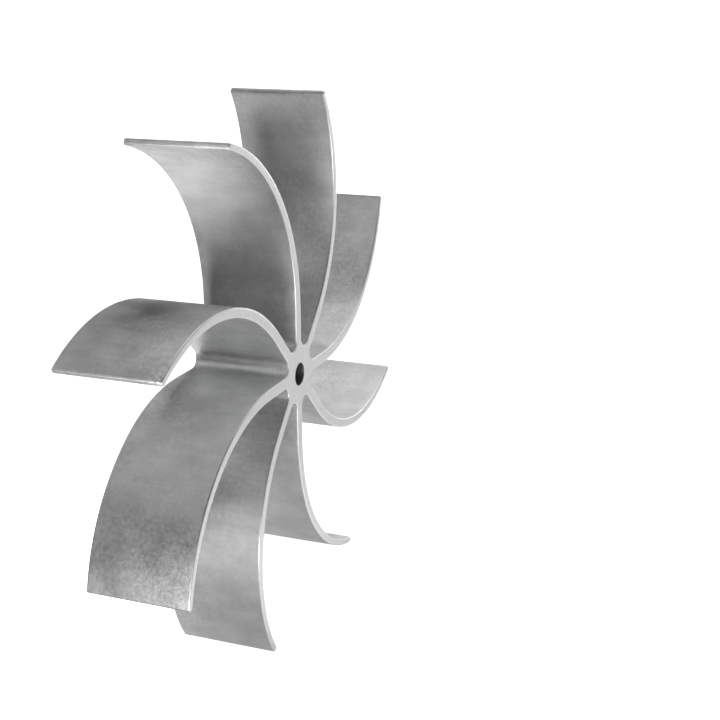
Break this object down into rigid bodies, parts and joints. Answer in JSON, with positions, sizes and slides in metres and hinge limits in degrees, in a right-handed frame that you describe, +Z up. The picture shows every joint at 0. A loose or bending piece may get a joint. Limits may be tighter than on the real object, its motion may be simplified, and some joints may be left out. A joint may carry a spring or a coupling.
{
  "type": "extractor fan impeller",
  "caption": "Radial fan impeller cut from one aluminium extrusion: curved blades, open on both faces, round a small bored hub.",
  "frame": {"origin": "middle of the shaft bore, halfway between the two cut faces", "axes": "Y runs along the shaft and the front face looks along -Y; +Z is up, with the impeller standing on the tips of two blades"},
  "size_m": [0.1586, 0.031, 0.1586],
  "materials": {
    "aluminium": "satin, bare extruded metal with a fine pebbled grain and brighter cut edges"
  },
  "bodies": {
    "root": {"impeller": "aluminium"}
  },
  "joints": []
}
